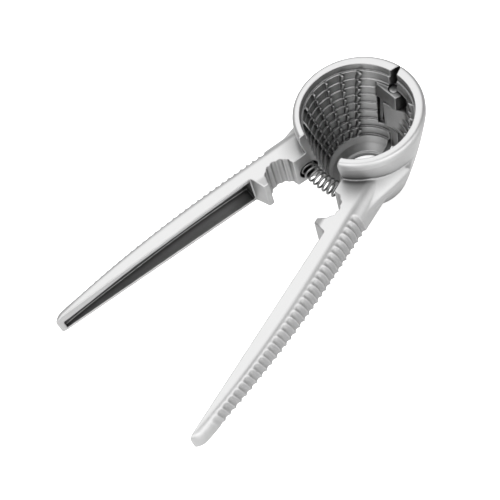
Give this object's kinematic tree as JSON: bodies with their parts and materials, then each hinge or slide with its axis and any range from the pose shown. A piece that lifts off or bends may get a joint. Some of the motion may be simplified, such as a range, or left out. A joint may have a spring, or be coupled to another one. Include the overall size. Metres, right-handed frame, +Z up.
{
  "type": "nutcracker",
  "caption": "Spring-open hand nutcracker with a ridged tapered cup, a small scalloped jaw behind it and two ribbed channel-section handles.",
  "frame": {"origin": "middle of the bounding box at the level of the cup's foot, handles open as at rest", "axes": "+Z up the cup's axis from its foot to its rim, the handles run toward -Y, X = 0 is the plane between the two halves"},
  "size_m": [0.0762, 0.1572, 0.048],
  "materials": {
    "casting": "satin die-cast, lightly tumbled",
    "pin_steel": "ground steel",
    "spring_steel": "bright spring wire"
  },
  "bodies": {
    "left": {"left_half": "casting", "hinge_pin": "pin_steel", "coil_spring": "spring_steel"},
    "right": {"right_half": "casting"}
  },
  "joints": [
    {"name": "squeeze", "type": "hinge", "parent": "left", "child": "right", "pos_m": [0, 0.0732, 0.022], "axis": [0, 0, 1], "range_deg": [-22, 0], "stiffness_Nm_per_rad": 0.9, "springref_deg": 8.59, "deforming": ["coil_spring"]}
  ]
}
